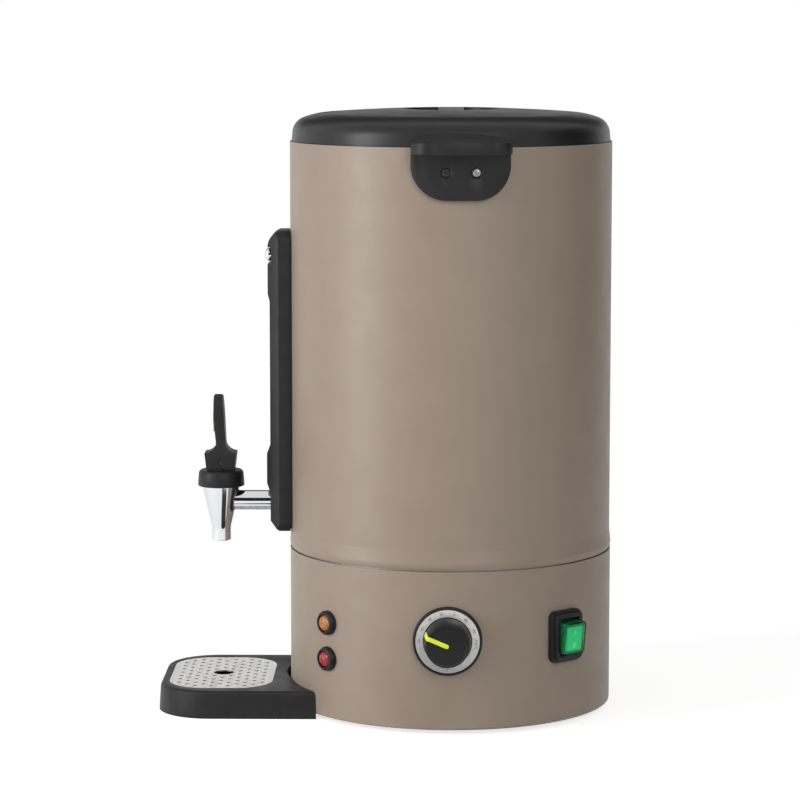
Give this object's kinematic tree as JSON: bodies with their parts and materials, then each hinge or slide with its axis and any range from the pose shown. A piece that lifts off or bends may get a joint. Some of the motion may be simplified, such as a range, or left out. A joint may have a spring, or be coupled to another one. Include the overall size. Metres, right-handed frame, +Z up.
{
  "type": "hot water urn",
  "caption": "Round electric hot water urn with a self-closing tap, sight gauge, thermostat dial, lift-off lid, side handles and drip tray.",
  "frame": {"origin": "on the urn's upright axis, at the table it stands on", "axes": "+Z up, -X towards the tap and drip tray, -Y towards the control panel"},
  "size_m": [0.3402, 0.3002, 0.45],
  "materials": {
    "taupe_paint": "satin",
    "black_plastic": "satin",
    "lid_plastic": "satin",
    "stainless": "brushed",
    "chrome": "polished",
    "zinc_steel": "satin",
    "aluminium": "satin",
    "brass": "satin",
    "silicone": "matte",
    "black_rubber": "matte",
    "white_plastic": "matte",
    "glass": "clear",
    "amber_plastic": "gloss",
    "red_plastic": "gloss",
    "green_plastic": "gloss",
    "green_silicone": "translucent",
    "pointer_yellow": "satin"
  },
  "bodies": {
    "urn": {"base_shell": "taupe_paint", "bottom_plate": "zinc_steel", "rubber_feet": "black_rubber", "feet_screws": "zinc_steel", "outer_shell": "taupe_paint", "joining_ring": "zinc_steel", "support_ring": "stainless", "water_tank": "stainless", "heat_plate": "aluminium", "heating_element": "zinc_steel", "element_clamp": "zinc_steel", "clamp_nut": "zinc_steel", "thermal_cutout": "aluminium", "thermostat_body": "white_plastic", "thermostat_probe": "brass", "terminal_block": "white_plastic", "dial_bezel": "black_plastic", "dial_scale": "stainless", "lamp_bezels": "black_plastic", "amber_lens": "amber_plastic", "red_lens": "red_plastic", "lamp_housings": "black_plastic", "lamp_nuts": "black_plastic", "switch_frame": "black_rubber", "switch_housing": "black_plastic", "gauge_cover": "black_plastic", "gauge_tube": "glass", "gauge_tee": "chrome", "gauge_nut": "chrome", "gauge_seals": "silicone", "gauge_cap": "black_plastic", "gauge_bracket": "zinc_steel", "gauge_screw": "stainless", "tap_body": "chrome", "tap_collar": "black_plastic", "tap_gaskets": "silicone", "tap_nut": "brass", "front_handle": "black_plastic", "rear_handle": "black_plastic", "handle_screws": "zinc_steel", "handle_nuts": "brass", "cable_gland": "black_plastic", "gland_nut": "black_plastic"},
    "lid": {"lid": "lid_plastic", "steam_vent": "black_plastic", "lid_liner": "stainless", "lid_seal": "silicone"},
    "tap_stem": {"tap_stem": "stainless", "tap_seat": "silicone", "lever_pin": "stainless", "tap_spring": "stainless"},
    "tap_lever": {"tap_lever": "black_plastic", "lever_inset": "pointer_yellow"},
    "knob": {"control_knob": "black_plastic", "knob_pointer": "pointer_yellow", "thermostat_shaft": "zinc_steel"},
    "rocker": {"switch_rocker": "green_plastic", "switch_boot": "green_silicone"},
    "tray": {"drip_tray": "black_plastic"},
    "grille": {"drip_grille": "stainless"}
  },
  "joints": [
    {"name": "lid_lift", "type": "slide", "parent": "urn", "child": "lid", "axis": [0, 0, 1], "range_m": [0, 0.08]},
    {"name": "stem_lift", "type": "slide", "parent": "urn", "child": "tap_stem", "axis": [0, 0, 1], "range_m": [0, 0.0046], "deforming": ["tap_spring"]},
    {"name": "lever_pull", "type": "hinge", "parent": "tap_stem", "child": "tap_lever", "pos_m": [-0.1735, 0, 0.183], "axis": [0, -1, 0], "range_deg": [0, 30], "stiffness_Nm_per_rad": 0.4, "springref_deg": -8.59},
    {"name": "knob_turn", "type": "hinge", "parent": "urn", "child": "knob", "pos_m": [-0.00169, -0.12099, 0.0698], "axis": [-0.014, -0.9999, 0], "range_deg": [-163, 112]},
    {"name": "rocker_press", "type": "hinge", "parent": "urn", "child": "rocker", "pos_m": [0.08467, -0.08922, 0.0677], "axis": [-0.7254, -0.6884, 0], "range_deg": [0, 12]},
    {"name": "tray_pull", "type": "slide", "parent": "urn", "child": "tray", "axis": [-1, 0, 0], "range_m": [0, 0.08]},
    {"name": "grille_lift", "type": "slide", "parent": "tray", "child": "grille", "axis": [0, 0, 1], "range_m": [0, 0.04]}
  ],
  "couplings": [
    {"joint": "stem_lift", "follows": "lever_pull", "m_per_rad": 0.00878}
  ]
}
